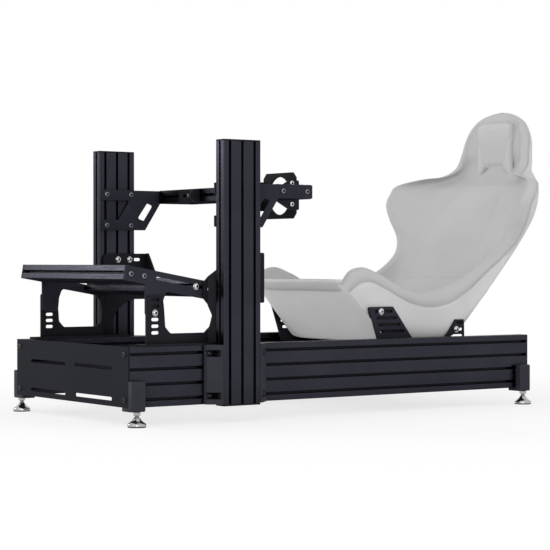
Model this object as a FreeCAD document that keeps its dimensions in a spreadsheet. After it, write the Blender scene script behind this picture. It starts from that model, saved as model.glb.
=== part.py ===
"""Sim racing cockpit: slotted aluminium frame, pedal deck, wheel support and bucket seat.

Millimetres, Z up, the rig faces -Y, the driver's left is +X.  Outlines are drawn with Y counted
from the face of the front plate; every piece is then placed so the middle of the rig is at Y 0.
"""
import math
import os

import FreeCAD
import Part

SIZES = [
    # whole rig
    ("overall_length", 1632.5),
    ("base_width", 624.0),
    # slotted profiles, all built from square cells
    ("cell", 40.0),
    ("slot_mouth", 8.2),
    ("slot_lip", 4.5),
    ("slot_cavity", 20.0),
    ("slot_shoulder", 2.6),
    ("slot_floor", 10.0),
    ("slot_deep", 12.5),
    ("corner_cut", 1.5),
    # base rails, front plate and rear caps
    ("rail_bottom", 50.0),
    ("rail_length", 1405.0),
    ("front_plate_thick", 5.0),
    ("plate_slot_inner", 26.0),
    ("plate_slot_outer", 227.0),
    ("plate_slot_low", 19.5),
    ("plate_slot_high", 101.0),
    ("plate_slot_width", 10.0),
    ("rail_cap_thick", 5.0),
    # uprights with caps and corner angles
    ("upright_front", 274.0),
    ("upright_bottom", 45.0),
    ("upright_length", 709.0),
    ("upright_cap_thick", 4.0),
    ("angle_leg", 39.5),
    ("angle_wall", 7.0),
    ("angle_pocket", 18.0),
    # foot brackets and levelling feet
    ("foot_block_deep", 20.0),
    ("foot_block_long", 41.0),
    ("foot_block_tall", 80.0),
    ("foot_ledge_thick", 10.0),
    ("foot_ledge_reach", 32.0),
    ("foot_front_gap", 0.0),
    ("foot_rear_gap", 8.0),
    ("foot_pad_wide", 50.0),
    ("foot_pad_rim", 7.0),
    ("foot_pad_tall", 17.0),
    ("foot_stem_wide", 12.0),
    ("foot_nut_wide", 19.0),
    ("foot_nut_tall", 9.0),
    # wheel arm plates, cross bar and wheel mount
    ("sheet_thick", 6.0),
    ("wheel_axis_height", 627.5),
    ("wheel_bar_front", 478.0),
    ("arm_half_height", 18.7),
    ("arm_finger_height", 30.5),
    ("arm_drop", 100.5),
    ("arm_start", 272.0),
    ("brace_slot_corner", 5.0),
    ("ring_wide", 160.0),
    ("ring_tall", 136.0),
    ("ring_corner", 15.0),
    ("ring_bore", 112.0),
    ("ring_thick", 8.0),
    ("ring_behind_bar", 107.0),
    ("mount_arm_tail", 12.0),
    ("mount_arm_spread", 43.5),
    ("mount_flange_wide", 100.0),
    ("mount_slot_start", 44.0),
    ("mount_slot_long", 34.0),
    ("mount_slot_width", 8.5),
    ("mount_ear_reach", 32.5),
    # pedal deck and its side supports
    ("deck_tilt", 10.0),
    ("deck_front_middle", 44.0),
    ("deck_front_height", 398.1),
    ("deck_bar_step", 205.6),
    ("deck_arm_below", 28.5),
    ("deck_slot_start", 61.0),
    ("deck_slot_past_bar", 26.4),
    ("deck_slot_width", 8.6),
    ("support_flange_thick", 5.0),
    ("support_flange_start", 41.0),
    ("support_flange_end", 352.0),
    ("support_front", 66.0),
    ("support_slot_pitch", 17.6),
    ("support_slot_low", 34.5),
    ("support_slot_wide", 9.0),
    ("support_slot_long", 25.0),
    ("support_slot_front", 81.5),
    ("support_top", 457.0),
    # seat, its side brackets and the bars under it
    ("seat_side_gap", 30.0),
    ("seat_half_width", "=base_width / 2 - cell - seat_side_gap"),
    ("seat_length", 838.0),
    ("seat_height", 721.0),
    ("seat_wall", 14.0),
    ("seat_bar_bottom", 130.0),
    ("seat_above_bar", 24.0),
    ("seat_bar_front_step", 175.0),
    ("seat_bar_rear_step", 375.0),
    ("seat_bracket_foot", 45.0),
    ("seat_bracket_front_tall", 131.0),
    ("seat_bracket_rear_tall", 89.0),
    ("seat_bracket_slot", 8.6),
    ("seat_bracket_slot_pitch", 19.5),
    ("base_pad_thick", 34.0),
    ("back_pad_thick", 26.0),
    ("head_pad_thick", 22.0),
]

doc = FreeCAD.newDocument("racing_cockpit")
sheet = doc.addObject("Spreadsheet::Sheet", "sizes")
for row, (name, value) in enumerate(SIZES, start=1):
    sheet.set("A%d" % row, name)
    sheet.set("B%d" % row, str(value))
    sheet.setAlias("B%d" % row, name)
doc.recompute()
size = {name: float(sheet.get(name)) for name, _ in SIZES}

V = FreeCAD.Vector
NODES = []
FORWARD = "-(sizes.overall_length - sizes.foot_pad_wide + sizes.foot_block_long) / 2 - sizes.foot_front_gap"

cell = size["cell"]
thick = size["sheet_thick"]
half_base = size["base_width"] / 2
rail_low = size["rail_bottom"]
rail_top = rail_low + 4 * cell
rail_inner = half_base - cell
rail_middle = half_base - cell / 2
upright_front = size["upright_front"]
upright_back = upright_front + 3 * cell
rail_start = size["front_plate_thick"]
rail_end = rail_start + size["rail_length"]


def lines(points):
    """Closed loop of straight edges."""
    count = len(points)
    return [Part.LineSegment(V(*points[i], 0), V(*points[(i + 1) % count], 0)) for i in range(count)]


def rounded(points, radii):
    """Closed loop whose corners are rounded with the given radii (0 keeps a corner sharp)."""
    count = len(points)
    starts, ends, arcs = [], [], []
    for i in range(count):
        here = V(*points[i], 0)
        before = (V(*points[i - 1], 0) - here).normalize()
        after = (V(*points[(i + 1) % count], 0) - here).normalize()
        radius = radii[i] if isinstance(radii, (list, tuple)) else radii
        if radius <= 0:
            starts.append(here)
            ends.append(here)
            arcs.append(None)
            continue
        turn = before.getAngle(after)
        step = radius / math.tan(turn / 2)
        inward = (before + after).normalize()
        top = here + inward * (radius / math.sin(turn / 2) - radius)
        starts.append(here + before * step)
        ends.append(here + after * step)
        arcs.append(Part.Arc(starts[-1], top, ends[-1]))
    edges = []
    for i in range(count):
        if arcs[i] is not None:
            edges.append(arcs[i])
        if ends[i].distanceToPoint(starts[(i + 1) % count]) > 1e-6:
            edges.append(Part.LineSegment(ends[i], starts[(i + 1) % count]))
    return edges


def chamfered(low, high, cut):
    """Closed rectangle between two corners with its own corners cut off."""
    (x0, y0), (x1, y1) = low, high
    return lines([(x0 + cut, y0), (x1 - cut, y0), (x1, y0 + cut), (x1, y1 - cut),
                  (x1 - cut, y1), (x0 + cut, y1), (x0, y1 - cut), (x0, y0 + cut)])


def obround(first, second, width):
    """Rounded slot between two centres."""
    one, two = V(*first, 0), V(*second, 0)
    along = (two - one).normalize()
    side = V(-along.y, along.x, 0) * (width / 2)
    tip = along * (width / 2)
    return [
        Part.LineSegment(one + side, two + side),
        Part.Arc(two + side, two + tip, two - side),
        Part.LineSegment(two - side, one - side),
        Part.Arc(one - side, one - tip, one + side),
    ]


def circle(centre, width):
    return [Part.Circle(V(*centre, 0), V(0, 0, 1), width / 2)]


def slotted(cells_across, cells_up):
    """Outline of a T-slotted profile made of square cells, centred on the origin."""
    wide, tall = cells_across * cell, cells_up * cell
    mouth, cavity, floor = size["slot_mouth"] / 2, size["slot_cavity"] / 2, size["slot_floor"] / 2
    lip, deep = size["slot_lip"], size["slot_deep"]
    shoulder = lip + size["slot_shoulder"]
    cut = size["corner_cut"]
    points = []

    def side(count, length, place):
        points.append(place(cut, 0))
        for i in range(count):
            middle = (i + 0.5) * length / count
            for across, down in ((-mouth, 0), (-mouth, lip), (-cavity, lip), (-cavity, shoulder),
                                 (-floor, deep), (floor, deep), (cavity, shoulder), (cavity, lip),
                                 (mouth, lip), (mouth, 0)):
                points.append(place(middle + across, down))
        points.append(place(length - cut, 0))

    side(cells_across, wide, lambda a, d: (-wide / 2 + a, -tall / 2 + d))
    side(cells_up, tall, lambda a, d: (wide / 2 - d, -tall / 2 + a))
    side(cells_across, wide, lambda a, d: (wide / 2 - a, tall / 2 - d))
    side(cells_up, tall, lambda a, d: (-wide / 2 + d, tall / 2 - a))
    return points


def shifted(points, across, up):
    return [(x + across, y + up) for x, y in points]


def mirrored(points):
    return [(-x, y) for x, y in points]


def origin_plane(body, role):
    for feature in body.Origin.OriginFeatures:
        if feature.Role == role:
            return feature
    raise RuntimeError("no plane " + role)


def sketch_in(body, role, loops, name):
    sketch = body.newObject("Sketcher::SketchObject", name)
    sketch.AttachmentSupport = [(origin_plane(body, role), "")]
    sketch.MapMode = "FlatFace"
    for loop in loops:
        sketch.addGeometry(loop, False)
    return sketch


def padded_body(label, role, loops, length, base, keep=True):
    """Body with one padded outline; XZ outlines grow towards +Y."""
    body = doc.addObject("PartDesign::Body", label)
    body.Label = label
    sketch = sketch_in(body, role, loops, label + "_outline")
    pad = body.newObject("PartDesign::Pad", label + "_pad")
    pad.Profile = sketch
    pad.setExpression("Length", length)
    pad.Reversed = role == "XZ_Plane"
    for axis, text in zip("xyz", base):
        body.setExpression("Placement.Base." + axis, text)
    sketch.Visibility = False
    if keep:
        NODES.append((label, body))
    return body


def pocket_in(body, role, loops, depth, name, reverse=False):
    """Cuts outlines into a body from one of its origin planes."""
    sketch = sketch_in(body, role, loops, name + "_outline")
    pocket = body.newObject("PartDesign::Pocket", name)
    pocket.Profile = sketch
    pocket.setExpression("Length", depth)
    pocket.Reversed = reverse
    sketch.Visibility = False
    return pocket


def pair(label):
    """The two sides of the rig: the driver's left is +X."""
    return (("left_" + label, 1), ("right_" + label, -1))


def side_plate(label, side, loops, inner, wall="sizes.sheet_thick", keep=True):
    """Upright plate across X: inner is the expression of its face nearest the middle."""
    across = inner if side > 0 else "-(%s) - %s" % (inner, wall)
    return padded_body(label, "YZ_Plane", loops, wall, (across, FORWARD, "0"), keep)


# base rails with front plate and rear caps
for label, side in pair("base_rail"):
    outline = lines(shifted(slotted(1, 4), side * rail_middle, rail_low + 2 * cell))
    padded_body(label, "XZ_Plane", [outline], "sizes.rail_length",
                ("0", FORWARD + " + sizes.front_plate_thick", "0"))

plate_loops = [rounded([(-half_base, rail_low), (half_base, rail_low), (half_base, rail_top),
                        (-half_base, rail_top)], 3.0)]
slot_end = size["plate_slot_width"] / 2
for side in (1, -1):
    for height in (size["plate_slot_low"], size["plate_slot_high"]):
        plate_loops.append(obround((side * (size["plate_slot_inner"] + slot_end), rail_low + height),
                                   (side * (size["plate_slot_outer"] - slot_end), rail_low + height),
                                   size["plate_slot_width"]))
padded_body("front_plate", "XZ_Plane", plate_loops, "sizes.front_plate_thick", ("0", FORWARD, "0"))

for label, side in pair("rail_cap"):
    middle = side * rail_middle
    outline = chamfered((middle - cell / 2, rail_low), (middle + cell / 2, rail_top), size["corner_cut"])
    padded_body(label, "XZ_Plane", [outline], "sizes.rail_cap_thick",
                ("0", FORWARD + " + sizes.front_plate_thick + sizes.rail_length", "0"))

# uprights bolted outside the rails, a cap on each end
for label, side in pair("upright"):
    middle = (side * (half_base + cell / 2), upright_front + 1.5 * cell)
    padded_body(label, "XY_Plane", [lines(shifted(slotted(1, 3), *middle))], "sizes.upright_length",
                ("0", FORWARD, "sizes.upright_bottom + sizes.upright_cap_thick"))
    outline = chamfered((middle[0] - cell / 2, upright_front), (middle[0] + cell / 2, upright_back),
                        size["corner_cut"])
    for end, height in (("top_cap", "sizes.upright_bottom + sizes.upright_cap_thick + sizes.upright_length"),
                        ("bottom_cap", "sizes.upright_bottom")):
        padded_body(label + "_" + end, "XY_Plane", [outline], "sizes.upright_cap_thick",
                    ("0", FORWARD, height))

# cast corner angles holding each upright to its rail, front and back
leg, wall = size["angle_leg"], size["angle_wall"]
for label, side in pair("angle"):
    for end, face, way in (("front", upright_front, -1), ("rear", upright_back, 1)):
        shape = [(0, 0), (leg, 0), (leg, wall), (wall + 6, leg - 2), (wall, leg), (0, leg)]
        outline = [(side * (half_base + a), face + way * b) for a, b in shape]
        body = padded_body(label + "_" + end, "XY_Plane", [lines(outline)], "4 * sizes.cell",
                           ("0", FORWARD, "sizes.rail_bottom"))
        recess = [(wall, wall), (leg + 4, wall), (leg + 4, leg + 4), (wall, leg + 4)]
        recess = [(side * (half_base + a), face + way * b) for a, b in recess]
        for level, name in ((14.0, "low"), (4 * cell - 14.0 - size["angle_pocket"], "high")):
            pocket = pocket_in(body, "XY_Plane", [lines(recess)], "sizes.angle_pocket",
                               label + "_" + end + "_" + name, True)
            pocket.Profile[0].AttachmentOffset = FreeCAD.Placement(V(0, 0, level), FreeCAD.Rotation())

# foot brackets at the rail ends, with a ledge under the rail, and the levelling feet
block_low = rail_low - size["foot_ledge_thick"]
block_out = half_base + size["foot_block_deep"]
for label, side in pair("foot_bracket"):
    for end, start in (("front", "sizes.foot_front_gap"),
                       ("rear", "sizes.front_plate_thick + sizes.rail_length + sizes.rail_cap_thick"
                                " - sizes.foot_rear_gap - sizes.foot_block_long")):
        outline = [(half_base - size["foot_ledge_reach"], block_low), (block_out, block_low),
                   (block_out, block_low + size["foot_block_tall"]),
                   (half_base, block_low + size["foot_block_tall"]),
                   (half_base, rail_low), (half_base - size["foot_ledge_reach"], rail_low)]
        radii = [0, 5.0, 5.0, 0, 0, 0]
        if side < 0:
            outline = mirrored(outline)
        padded_body(label + "_" + end, "XZ_Plane", [rounded(outline, radii)], "sizes.foot_block_long",
                    ("0", FORWARD + " + " + start, "0"))

pad_r, stem_r = size["foot_pad_wide"] / 2, size["foot_stem_wide"] / 2
nut_r = size["foot_nut_wide"] / math.sqrt(3)
hexagon = [(nut_r * math.cos(i * math.pi / 3), nut_r * math.sin(i * math.pi / 3)) for i in range(6)]
for label, side in pair("levelling_foot"):
    for end, start in (("front", "sizes.foot_front_gap"),
                       ("rear", "sizes.front_plate_thick + sizes.rail_length + sizes.rail_cap_thick"
                                " - sizes.foot_rear_gap - sizes.foot_block_long")):
        name = label + "_" + end
        body = doc.addObject("PartDesign::Body", name)
        body.Label = name
        half = [(0, 0), (pad_r, 0), (pad_r, size["foot_pad_rim"]), (stem_r, size["foot_pad_tall"]),
                (stem_r, block_low), (0, block_low)]
        sketch = sketch_in(body, "XZ_Plane", [lines(half)], name + "_outline")
        turn = body.newObject("PartDesign::Revolution", name + "_turn")
        turn.Profile = sketch
        turn.ReferenceAxis = (sketch, ["V_Axis"])
        turn.Angle = 360
        sketch.Visibility = False
        nut = body.newObject("PartDesign::Pad", name + "_nut")
        nut.Profile = sketch_in(body, "XY_Plane", [lines(hexagon)], name + "_hexagon")
        nut.Profile[0].setExpression("AttachmentOffset.Base.z", "sizes.rail_bottom - sizes.foot_ledge_thick"
                                     " - sizes.foot_nut_tall")
        nut.setExpression("Length", "sizes.foot_nut_tall")
        across = "sizes.base_width / 2 + sizes.foot_block_deep / 2"
        body.setExpression("Placement.Base.x", across if side > 0 else "-(%s)" % across)
        body.setExpression("Placement.Base.y", FORWARD + " + " + start + " + sizes.foot_block_long / 2")
        NODES.append((name, body))

# wheel arm plates: two fingers on the upright, a long arm to the cross bar and a slotted brace
axis = size["wheel_axis_height"]
arm_top, arm_low = axis + size["arm_half_height"], axis - size["arm_half_height"]
drop_low = axis - size["arm_drop"]
finger = size["arm_finger_height"]
arm_start = size["arm_start"]
bar_front = size["wheel_bar_front"]
bar_back = bar_front + 3 * cell
brace_top = bar_front + 4
brace_foot = upright_back + 34
arm_outline = rounded(
    [(arm_start, arm_top), (arm_start, arm_top - finger), (upright_back - 19.5, arm_top - finger),
     (upright_back - 58, drop_low + finger), (arm_start, drop_low + finger), (arm_start, drop_low),
     (brace_foot, drop_low), (brace_top, arm_low), (bar_back, arm_low), (bar_back, arm_top)],
    [2, 2, 4, 4, 2, 2, 3, 4, 2, 2])
arm_slot = rounded([(upright_back + 8, drop_low + 35.5), (upright_back + 31, drop_low + 27.5),
                    (upright_back + 62.5, arm_low - 7.5), (upright_back + 41.5, arm_low)],
                   size["brace_slot_corner"])
for label, side in pair("wheel_arm"):
    side_plate(label, side, [arm_outline, arm_slot], "sizes.base_width / 2 - sizes.sheet_thick")

wheel_bar = shifted(slotted(3, 1), bar_front + 1.5 * cell, axis)
padded_body("wheel_cross_bar", "YZ_Plane", [lines(wheel_bar)], "sizes.base_width - 2 * sizes.sheet_thick",
            ("-sizes.base_width / 2 + sizes.sheet_thick", FORWARD, "0"))

# wheel mount: octagon ring between two tapered arms behind the bar, two eared angles before it
ring_half = size["ring_wide"] / 2
ring_tall = size["ring_tall"] / 2
octagon = chamfered((-ring_half, axis - ring_tall), (ring_half, axis + ring_tall), size["ring_corner"])
padded_body("wheel_mount_ring", "XZ_Plane", [octagon, circle((0, axis), size["ring_bore"])],
            "sizes.ring_thick",
            ("0", FORWARD + " + sizes.wheel_bar_front + 3 * sizes.cell + sizes.ring_behind_bar", "0"))

ring_front = bar_back + size["ring_behind_bar"]
tail = ring_front + size["mount_arm_tail"]
spread, narrow = size["mount_arm_spread"], size["arm_half_height"]
tapered = rounded([(bar_back, axis - narrow), (bar_back + 39, axis - narrow), (tail - 34, axis - spread),
                   (tail, axis - spread), (tail, axis + spread), (tail - 34, axis + spread),
                   (bar_back + 39, axis + narrow), (bar_back, axis + narrow)], [0, 12, 6, 5, 5, 6, 12, 0])
ear_tip = bar_front - size["mount_ear_reach"]
eared = [
    Part.LineSegment(V(bar_front, axis - narrow, 0), V(bar_front, axis + narrow, 0)),
    Part.LineSegment(V(bar_front, axis + narrow, 0), V(ear_tip + narrow, axis + narrow, 0)),
    Part.Arc(V(ear_tip + narrow, axis + narrow, 0), V(ear_tip, axis, 0),
             V(ear_tip + narrow, axis - narrow, 0)),
    Part.LineSegment(V(ear_tip + narrow, axis - narrow, 0), V(bar_front, axis - narrow, 0)),
]
web_out = ring_half + thick
slot_wide = size["mount_slot_width"]
slot_from = web_out + size["mount_slot_start"] + slot_wide / 2
slot_to = slot_from + size["mount_slot_long"] - slot_wide
flange_wide = size["mount_flange_wide"]
for prefix, loops, start, reach in (("wheel_mount_arm", [tapered], bar_back, flange_wide / 2),
                                    ("wheel_mount_ear", [eared], bar_front - thick, flange_wide)):
    for label, side in pair(prefix):
        web = side_plate(label + "_web", side, loops, "sizes.ring_wide / 2", keep=False)
        face = [(web_out - 0.5, axis - narrow), (web_out + reach, axis - narrow),
                (web_out + reach, axis + narrow), (web_out - 0.5, axis + narrow)]
        if side < 0:
            face = mirrored(face)
        flange_loops = [rounded(face, [0, 6, 6, 0])]
        if prefix == "wheel_mount_ear":
            flange_loops.append(obround((side * slot_from, axis), (side * slot_to, axis), slot_wide))
        flange = padded_body(label + "_flange", "XZ_Plane", flange_loops, "sizes.sheet_thick",
                             ("0", FORWARD + " + %r" % start, "0"), keep=False)
        whole = doc.addObject("Part::MultiFuse", label)
        whole.Label = label
        whole.Shapes = [web, flange]
        NODES.append((label, whole))

# pedal deck: two bars between tilted side arms
tilt = math.radians(size["deck_tilt"])
deck_y, deck_z = size["deck_front_middle"], size["deck_front_height"]


def on_deck(along, above):
    """Point of the tilted deck, counted from the middle of its front bar."""
    return (deck_y + along * math.cos(tilt) + above * math.sin(tilt),
            deck_z - along * math.sin(tilt) + above * math.cos(tilt))


arm_inner = rail_middle - thick / 2 - thick
for name, along in (("pedal_front_bar", 0.0), ("pedal_rear_bar", size["deck_bar_step"])):
    bar = [on_deck(along + a, b) for a, b in slotted(2, 1)]
    padded_body(name, "YZ_Plane", [lines(bar)], "sizes.base_width - sizes.cell - 3 * sizes.sheet_thick",
                ("-(sizes.base_width - sizes.cell - 3 * sizes.sheet_thick) / 2", FORWARD, "0"))

half_cell = cell / 2
below = size["deck_arm_below"]
column = size["support_front"]
leg_low = rail_top + size["support_slot_low"] + 2.5 * size["support_slot_pitch"]
deck_end = size["deck_bar_step"] + cell + 1
elbow = on_deck(60.0, -below)
arm_points = [on_deck(-cell - 0.5, half_cell), on_deck(-cell - 0.5, -half_cell),
              (column + 1.3, on_deck((column + 1.3 - deck_y) / math.cos(tilt), -half_cell)[1]),
              (column + 1.3, leg_low), (column + 52, leg_low), (column + 56, leg_low + 40),
              (elbow[0] + 34, on_deck(95.0, -below)[1]), on_deck(deck_end - 10, -below),
              on_deck(deck_end, -below + 14), on_deck(deck_end, half_cell)]
arm_slot = obround(on_deck(size["deck_slot_start"], 1.0),
                   on_deck(size["deck_bar_step"] + size["deck_slot_past_bar"], 1.0), size["deck_slot_width"])
for label, side in pair("pedal_arm"):
    side_plate(label, side, [rounded(arm_points, [2, 2, 3, 10, 10, 10, 10, 6, 6, 4]), arm_slot],
               "sizes.base_width / 2 - sizes.cell / 2 - 1.5 * sizes.sheet_thick")

# pedal side supports: a jogged sheet seen from above, trimmed by its side outline, on a foot strip
top = size["support_top"]
fold_start, fold_end = upright_front - 12.0, upright_front + 9.0
sheet_end = upright_back + 40.0
post_top = rail_top + 131.0
side_outline = [
    (column, rail_top), (column, post_top), (column + 51, post_top), (column + 55, post_top - 30),
    (column + 59, rail_top + 49), (column + 75, rail_top + 32), (upright_front - 24, rail_top + 32),
    (upright_front - 8, rail_top + 46), (upright_front - 2, rail_top + 78),
    (upright_front - 12, rail_top + 108), (upright_front - 29, rail_top + 126),
    (upright_front - 30, rail_top + 164), (upright_front + 9, rail_top + 203),
    (upright_front + 9, top - 14), (upright_front + 18, top), (sheet_end, top), (sheet_end, rail_top + 110),
    (upright_back - 8, rail_top + 110), (upright_back - 28, rail_top + 104),
    (upright_front + 60, rail_top + 82), (upright_front + 42, rail_top + 50), (upright_front + 42, rail_top)]
side_radii = [0, 8, 4, 0, 6, 10, 6, 12, 10, 8, 6, 6, 6, 4, 4, 4, 4, 6, 4, 6, 8, 0]
support_loops = [rounded(side_outline, side_radii)]
long = size["support_slot_long"]
wide = size["support_slot_wide"]
for row in range(6):
    height = rail_top + size["support_slot_low"] + row * size["support_slot_pitch"]
    start = size["support_slot_front"] + wide / 2
    support_loops.append(obround((start, height), (start + long - wide, height), wide))
bolt_row = top - 18.0
support_loops.append(obround((upright_back - 3, bolt_row), (upright_back + 14, bolt_row), 9.0))
for label, side in pair("pedal_support"):
    near = rail_middle - thick / 2
    far = half_base - thick
    ribbon = [(near, column - 5), (near + thick, column - 5), (near + thick, fold_start - 1.5),
              (far + thick, fold_end - 1.5), (far + thick, sheet_end), (far, sheet_end),
              (far, fold_end + 1.5), (near, fold_start + 1.5)]
    lip_top, lip_low = top + 7.0, rail_top + 150.0
    lip = [(far + 0.5, lip_top - 7.0), (far - 12.0, lip_top - 6.0), (far - 51.0, lip_top - 62.0),
           (far - 47.0, lip_top - 72.0), (far + 0.5, lip_low)]
    if side < 0:
        ribbon = mirrored(ribbon)
        lip = mirrored(lip)
    tall = padded_body(label + "_fold", "XY_Plane", [lines(ribbon)], "sizes.support_top + 20",
                       ("0", FORWARD, "0"), keep=False)
    trim = padded_body(label + "_trim", "YZ_Plane", support_loops, "sizes.base_width / 2",
                       ("0" if side > 0 else "-sizes.base_width / 2", FORWARD, "0"), keep=False)
    folded = doc.addObject("Part::MultiCommon", label + "_sheet")
    folded.Shapes = [tall, trim]
    strip_face = [(side * rail_inner, rail_top), (side * half_base, rail_top),
                  (side * half_base, rail_top + size["support_flange_thick"]),
                  (side * rail_inner, rail_top + size["support_flange_thick"])]
    strip = padded_body(label + "_strip", "XZ_Plane", [lines(strip_face)],
                        "sizes.support_flange_end - sizes.support_flange_start",
                        ("0", FORWARD + " + sizes.support_flange_start", "0"), keep=False)
    wing = padded_body(label + "_lip", "XZ_Plane", [rounded(lip, [0, 3, 6, 6, 0])], "sizes.sheet_thick",
                       ("0", FORWARD + " + %r" % (sheet_end - thick), "0"), keep=False)
    whole = doc.addObject("Part::MultiFuse", label)
    whole.Label = label
    whole.Shapes = [folded, strip, wing]
    NODES.append((label, whole))

# bars between the rails and side brackets under the seat
foot_overhang = (size["foot_pad_wide"] - size["foot_block_long"]) / 2 - size["foot_front_gap"]
seat_front = size["overall_length"] - foot_overhang - size["seat_length"]
seat_half = size["seat_half_width"]
bar_low = size["seat_bar_bottom"]
bar_top = bar_low + cell
front_middle = seat_front + size["seat_bar_front_step"]
rear_middle = seat_front + size["seat_bar_rear_step"]
for name, middle in (("seat_front_bar", front_middle), ("seat_rear_bar", rear_middle)):
    outline = lines(shifted(slotted(2, 1), middle, bar_low + half_cell))
    padded_body(name, "YZ_Plane", [outline], "sizes.base_width - 2 * sizes.cell",
                ("-sizes.base_width / 2 + sizes.cell", FORWARD, "0"))

front_tall, rear_tall = size["seat_bracket_front_tall"], size["seat_bracket_rear_tall"]
front_face = [(front_middle - 70, bar_top), (front_middle + 77, bar_top),
              (front_middle - 25, bar_top + front_tall), (front_middle - 115, bar_top + front_tall),
              (front_middle - 84, bar_top + 39)]
rear_face = [(rear_middle - 51, bar_top), (rear_middle + 52, bar_top),
             (rear_middle + 50, bar_top + rear_tall), (rear_middle + 16, bar_top + rear_tall)]


def across(first, second, height):
    """Y where the line through two points of an outline reaches a height."""
    return first[0] + (second[0] - first[0]) * (height - first[1]) / (second[1] - first[1])


def slot_rows(front_edge, rear_edge, highest, count, front_inset, rear_inset):
    """Level slots that run from one slanted edge of a bracket to the other."""
    wide = size["seat_bracket_slot"]
    rows = []
    for i in range(count):
        height = highest - i * size["seat_bracket_slot_pitch"]
        start = across(*front_edge, height) + front_inset + wide / 2
        end = across(*rear_edge, height) - rear_inset - wide / 2
        rows.append(obround((start, height), (end, height), wide))
    return rows


front_loops = [rounded(front_face, [0, 0, 5, 5, 0])]
front_loops += slot_rows((front_face[4], front_face[3]), (front_face[1], front_face[2]),
                         bar_top + front_tall - 13.5, 4, 17.0, 12.3)
rear_loops = [rounded(rear_face, [0, 0, 4, 5])]
rear_loops += slot_rows((rear_face[0], rear_face[3]), (rear_face[1], rear_face[2]),
                        bar_top + rear_tall - 10.0, 3, 8.5, 5.0)
for label, side in pair("seat_bracket"):
    for end, loops, middle in (("front", front_loops, front_middle), ("rear", rear_loops, rear_middle)):
        name = label + "_" + end
        web = side_plate(name + "_web", side, loops, "sizes.seat_half_width", keep=False)
        inner = seat_half - size["seat_bracket_foot"]
        foot = [(side * (seat_half + 0.5), middle - cell), (side * (seat_half + 0.5), middle + cell),
                (side * inner, middle + cell), (side * inner, middle - cell)]
        flange = padded_body(name + "_foot", "XY_Plane", [lines(foot)], "sizes.sheet_thick",
                             ("0", FORWARD, "sizes.seat_bar_bottom + sizes.cell"), keep=False)
        whole = doc.addObject("Part::MultiFuse", name)
        whole.Label = name
        whole.Shapes = [web, flange]
        NODES.append((name, whole))

# bucket seat: cross sections from the front lip over the hip to the top of the headrest
# each row, drawn on a seat 838 long and 721 tall and counted from its front lip and its underside:
# back of the shell (Y, Z), rim (Y, Z), share of that line where the sitting surface lies,
# then the half widths at the back, the side and the rim as shares of the seat's
STATIONS = [
    (152, 0, 0, 172, 0.84, 0.90, 0.93, 0.92), (162, 0, 22, 211, 0.73, 0.94, 0.99, 0.97),
    (178, 0, 52, 222, 0.67, 0.94, 1.00, 0.99), (210, 0, 110, 205, 0.60, 0.94, 1.00, 1.00),
    (270, 0, 185, 170, 0.50, 0.94, 1.00, 1.00), (330, 0, 281, 148, 0.45, 0.94, 1.00, 1.00),
    (390, 6, 379, 165, 0.42, 0.94, 1.00, 1.00), (432, 40, 445, 194, 0.42, 0.94, 1.00, 1.00),
    (485, 101, 519, 238, 0.45, 0.92, 1.00, 0.985), (565, 193, 571, 288, 0.55, 0.87, 1.03, 1.06),
    (628, 266, 590, 331, 0.55, 0.84, 1.06, 1.18), (678, 324, 593, 381, 0.41, 0.80, 1.085, 1.31),
    (713, 371, 595, 426, 0.33, 0.78, 1.10, 1.385), (740, 420, 610, 461, 0.30, 0.76, 1.08, 1.405),
    (758, 466, 641, 491, 0.32, 0.71, 1.02, 1.31), (770, 500, 655, 510, 0.36, 0.64, 0.87, 0.99),
    (782, 528, 697, 515, 0.42, 0.56, 0.72, 0.775), (798, 556, 740, 540, 0.48, 0.51, 0.64, 0.665),
    (818, 621, 766, 624, 0.48, 0.47, 0.58, 0.60), (832, 668, 792, 678, 0.50, 0.39, 0.50, 0.53),
    (837, 690, 808, 709, 0.58, 0.26, 0.34, 0.35), (838, 709, 816, 721, 0.60, 0.10, 0.14, 0.15),
]
THIGHS, BACK, HEAD = STATIONS[:7], STATIONS[8:15], STATIONS[17:20]
stretch_y = size["seat_length"] / STATIONS[-1][0]
stretch_z = size["seat_height"] / STATIONS[-1][3]
seat_low = bar_top + size["seat_above_bar"]
shell_wall = size["seat_wall"]


def section(row, kind, pad=0.0):
    """Closed wire of the shell or of a pad at one station."""
    back_y, back_z, edge_y, edge_z, share, back_w, side_w, edge_w = row
    low = V(0, seat_front + back_y * stretch_y, seat_low + back_z * stretch_z)
    high = V(0, seat_front + edge_y * stretch_y, seat_low + edge_z * stretch_z)
    deep = (high - low).Length
    up = (high - low).normalize()
    inner = share * deep
    back_w, side_w, edge_w = back_w * seat_half, side_w * seat_half, edge_w * seat_half
    sit_w = min(back_w, side_w - shell_wall) * 0.80
    if kind == "shell":
        rim_w = edge_w - shell_wall - 4
        half = [(back_w * 0.6, 0), (back_w, deep * 0.03), (side_w, deep * 0.15 + 4),
                ((side_w + edge_w) / 2, deep * 0.55), (edge_w, deep - 9), (edge_w - 9, deep),
                (rim_w, deep - 5), (sit_w + (rim_w - sit_w) * 0.62, inner + (deep - inner) * 0.30),
                (sit_w, inner)]
    else:
        half = [(sit_w, inner), (sit_w, inner + pad * 0.7), (sit_w - 9, inner + pad)]
    points = [(x, s) for x, s in half] + [(-x, s) for x, s in reversed(half)]
    corners = [low + V(x, 0, 0) + up * s for x, s in points]
    return Part.makePolygon(corners + corners[:1])


def lofted(label, wires):
    piece = doc.addObject("Part::Feature", label)
    piece.Label = label
    piece.Shape = Part.makeLoft(wires, True, True)
    piece.setExpression("Placement.Base.y", FORWARD)
    NODES.append((label, piece))


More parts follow.
